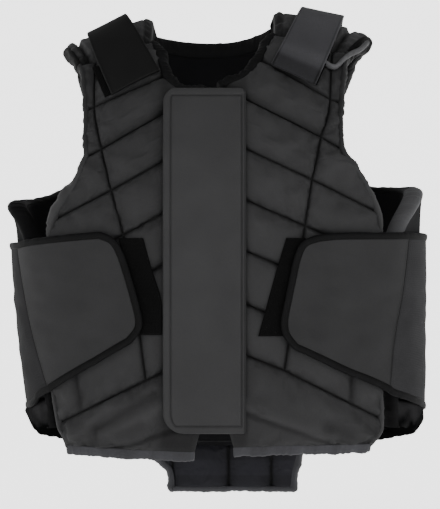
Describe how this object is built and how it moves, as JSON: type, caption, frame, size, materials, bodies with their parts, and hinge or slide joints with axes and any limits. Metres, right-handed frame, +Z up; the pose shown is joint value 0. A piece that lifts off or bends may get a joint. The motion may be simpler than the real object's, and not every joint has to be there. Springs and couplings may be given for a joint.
{
  "type": "equestrian body protector",
  "caption": "Riding vest of quilted foam panels, worn over the torso, closed by a placket, shoulder straps and waist flaps, with a padded tail flap.",
  "frame": {"origin": "the shoulder seat, midway between the wearer's shoulders where the pads rest", "axes": "+Z up, -Y out of the chest, +X to the wearer's left"},
  "size_m": [0.4485, 0.2752, 0.5337],
  "materials": {
    "charcoal_cloth": "matt woven nylon over foam",
    "black_trim": "matt black webbing and binding",
    "grey_trim": "dark grey binding with a soft sheen",
    "hook_black": "black hook-and-loop pile"
  },
  "bodies": {
    "root": {"front_panel_right": "charcoal_cloth", "front_panel_left": "charcoal_cloth", "back_panel": "charcoal_cloth", "side_wing_right": "charcoal_cloth", "side_wing_left": "charcoal_cloth", "shoulder_pad_right": "charcoal_cloth", "shoulder_pad_left": "charcoal_cloth", "centre_placket": "charcoal_cloth", "waist_flap_right": "charcoal_cloth", "waist_flap_left": "charcoal_cloth", "flap_stretch_right": "charcoal_cloth", "flap_stretch_left": "charcoal_cloth", "tail_flap": "charcoal_cloth", "armhole_binding_right": "charcoal_cloth", "armhole_binding_left": "charcoal_cloth", "shoulder_strap_right": "black_trim", "front_zip": "black_trim", "flap_binding_right": "black_trim", "flap_binding_left": "black_trim", "neck_binding_right": "black_trim", "neck_binding_left": "black_trim", "neck_binding_back": "black_trim", "back_edge_binding_right": "black_trim", "back_edge_binding_left": "black_trim", "shoulder_pad_binding_right": "black_trim", "shoulder_pad_binding_left": "black_trim", "shoulder_strap_left": "grey_trim", "hem_band_right": "grey_trim", "hem_band_left": "grey_trim", "hem_band_back": "grey_trim", "tail_binding": "grey_trim", "shoulder_hook_patch_right": "hook_black", "shoulder_hook_patch_left": "hook_black", "waist_hook_patch_right": "hook_black", "waist_hook_patch_left": "hook_black"}
  },
  "joints": []
}
